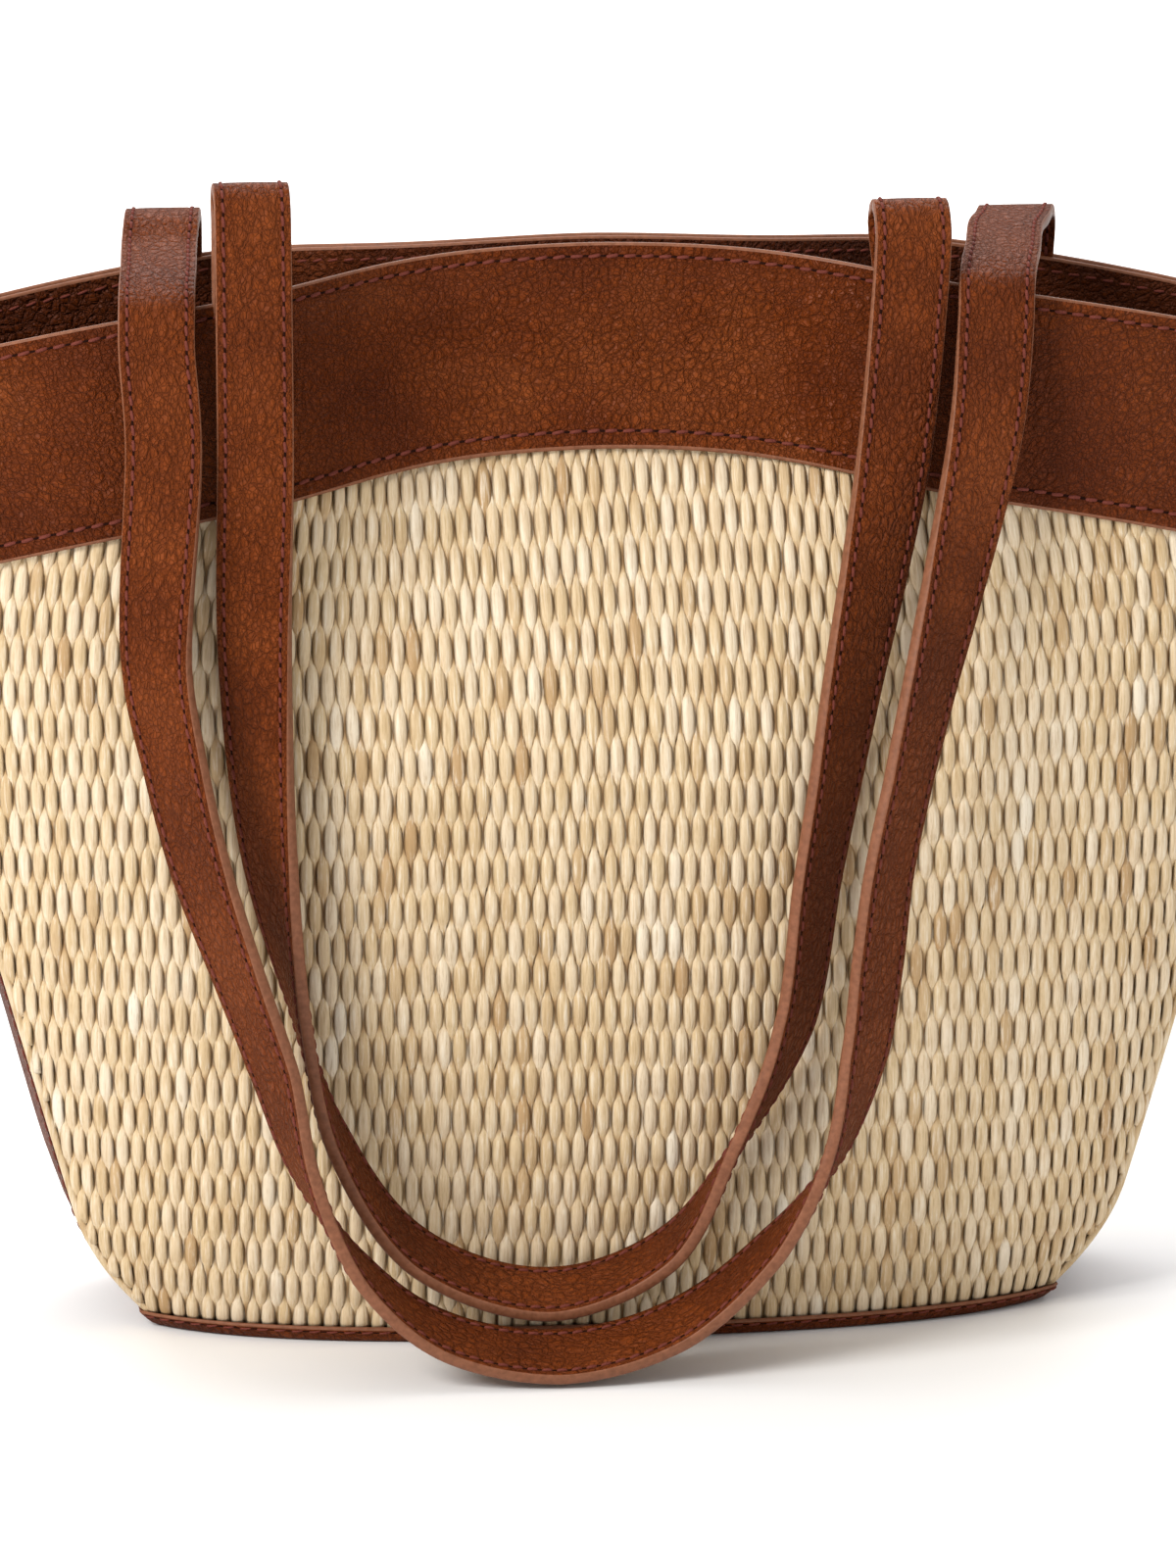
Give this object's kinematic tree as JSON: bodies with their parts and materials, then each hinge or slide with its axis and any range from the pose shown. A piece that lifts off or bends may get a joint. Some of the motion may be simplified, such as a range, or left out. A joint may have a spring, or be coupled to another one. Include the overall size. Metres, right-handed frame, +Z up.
{
  "type": "beach tote bag",
  "caption": "Woven straw tote with a brown leather rim band, leather gussets and base, a magnetic snap, and two flat leather shoulder handles hanging over the front.",
  "frame": {"origin": "middle of the underside of the base panel, where it rests", "axes": "+X to the right seen from the front, +Y to the back of the bag, +Z up"},
  "size_m": [0.4094, 0.1622, 0.3107],
  "materials": {
    "straw": "woven paper straw, satin",
    "leather": "pebbled brown leather, satin",
    "strap_leather": "pebbled brown leather, stitched, painted edges",
    "facing_leather": "smooth brown leather",
    "lining_cloth": "plain woven cloth, matt",
    "board": "pressed fibre board",
    "snap_metal": "plated, satin",
    "plate_metal": "bare"
  },
  "bodies": {
    "bag": {"front_straw_panel": "straw", "back_straw_panel": "straw", "left_gusset": "leather", "right_gusset": "leather", "base_panel": "leather", "front_band": "leather", "back_band": "leather", "left_side_band": "leather", "right_side_band": "leather", "front_facing": "facing_leather", "back_facing": "facing_leather", "left_side_facing": "facing_leather", "right_side_facing": "facing_leather", "lining": "lining_cloth", "base_board": "board", "snap_socket": "snap_metal", "snap_stud": "snap_metal", "socket_backing_plate": "plate_metal", "stud_backing_plate": "plate_metal", "front_handle_left_tab": "strap_leather", "front_handle_right_tab": "strap_leather", "back_handle_left_tab": "strap_leather", "back_handle_right_tab": "strap_leather"},
    "front_bend": {"front_handle_left_bend": "strap_leather", "front_handle_right_bend": "strap_leather"},
    "front_loop": {"front_handle": "strap_leather"},
    "back_bridge": {"back_handle_left_bridge": "strap_leather", "back_handle_right_bridge": "strap_leather"},
    "back_loop": {"back_handle": "strap_leather"}
  },
  "joints": [
    {"name": "front_handle_lift", "type": "hinge", "parent": "bag", "child": "front_bend", "pos_m": [-0.00593, -0.02303, 0.28997], "axis": [-0.9992, -0.0273, 0.0299], "range_deg": [0, 80]},
    {"name": "front_handle_unfold", "type": "hinge", "parent": "front_bend", "child": "front_loop", "pos_m": [-0.00602, -0.04575, 0.29685], "axis": [-0.9986, -0.0129, 0.0509], "range_deg": [0, 80]},
    {"name": "back_handle_lift", "type": "hinge", "parent": "bag", "child": "back_bridge", "pos_m": [0.00452, 0.03694, 0.28114], "axis": [-1, -0.0002, 0.0043], "range_deg": [0, 80]},
    {"name": "back_handle_unfold", "type": "hinge", "parent": "back_bridge", "child": "back_loop", "pos_m": [-0.00826, -0.0508, 0.27031], "axis": [-1, 0.0003, -0.0041], "range_deg": [0, 80]}
  ],
  "couplings": [
    {"joint": "front_handle_lift", "follows": "front_handle_unfold", "ratio": 1},
    {"joint": "back_handle_lift", "follows": "back_handle_unfold", "ratio": 1}
  ]
}
